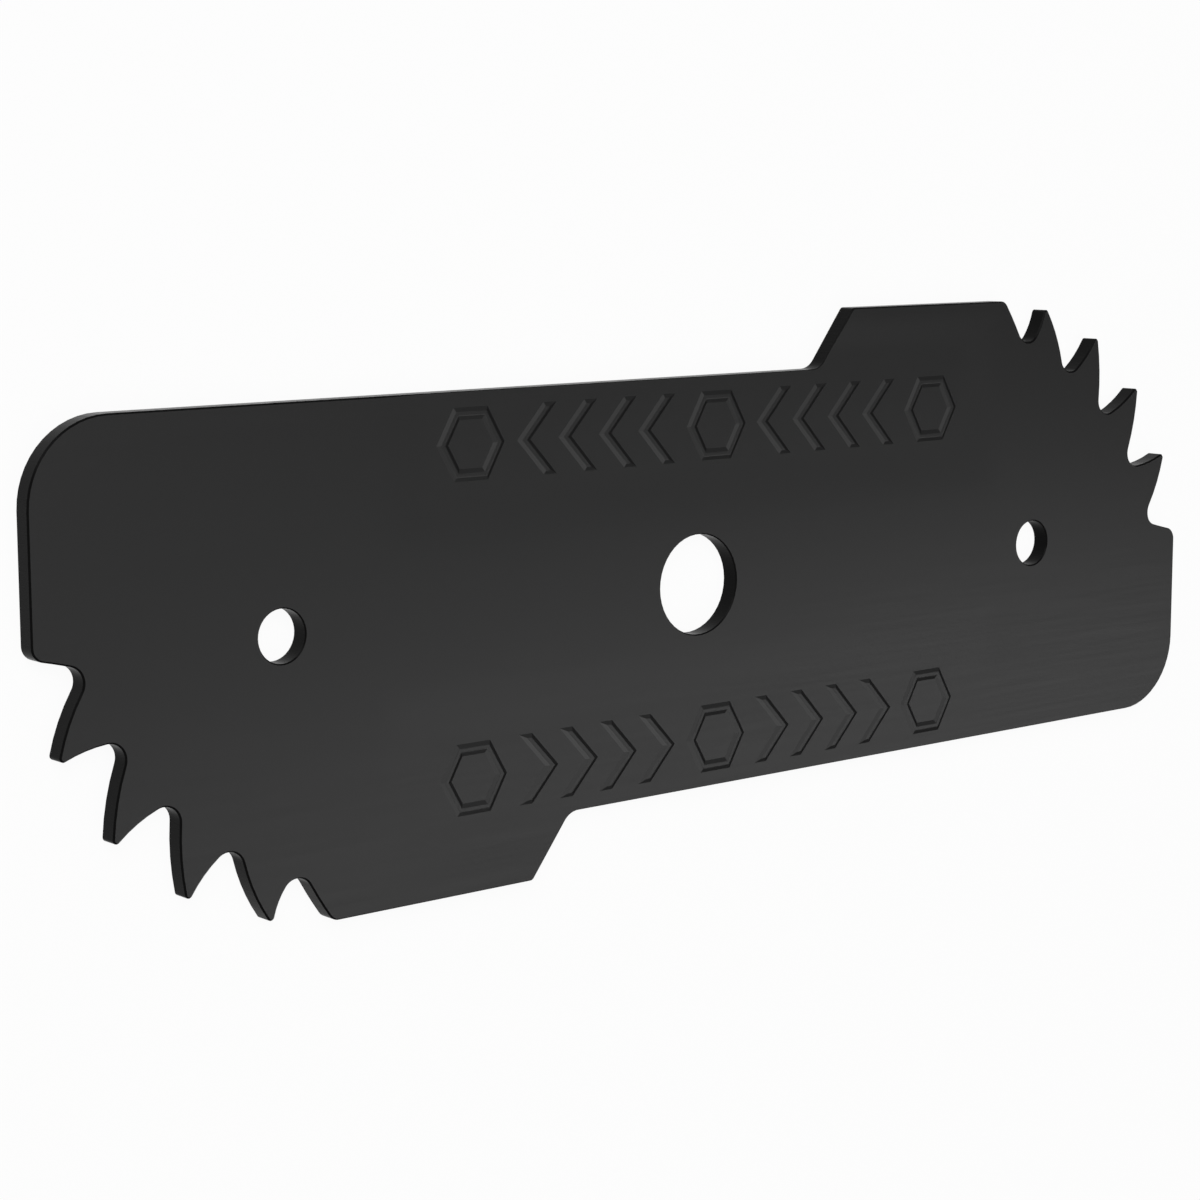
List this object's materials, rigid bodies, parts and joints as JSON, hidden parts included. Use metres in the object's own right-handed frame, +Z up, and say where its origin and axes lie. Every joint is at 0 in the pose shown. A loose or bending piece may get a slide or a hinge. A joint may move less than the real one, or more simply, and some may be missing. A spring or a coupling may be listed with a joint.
{
  "type": "lawn edger blade",
  "caption": "Flat stamped steel bar blade with curved saw teeth on opposite corners, a spindle hole in its middle and a smaller hole near each end.",
  "frame": {"origin": "centre of the spindle hole, on the face that the blade lies on", "axes": "+X along the blade's length, +Y across it towards the toothed corner that lies at +X, +Z up out of the marked face, along the spindle"},
  "size_m": [0.1906, 0.0686, 0.0023],
  "materials": {
    "black_coated_steel": "thin satin black coating over hardened sheet steel"
  },
  "bodies": {
    "root": {"edger_blade": "black_coated_steel"}
  },
  "joints": []
}
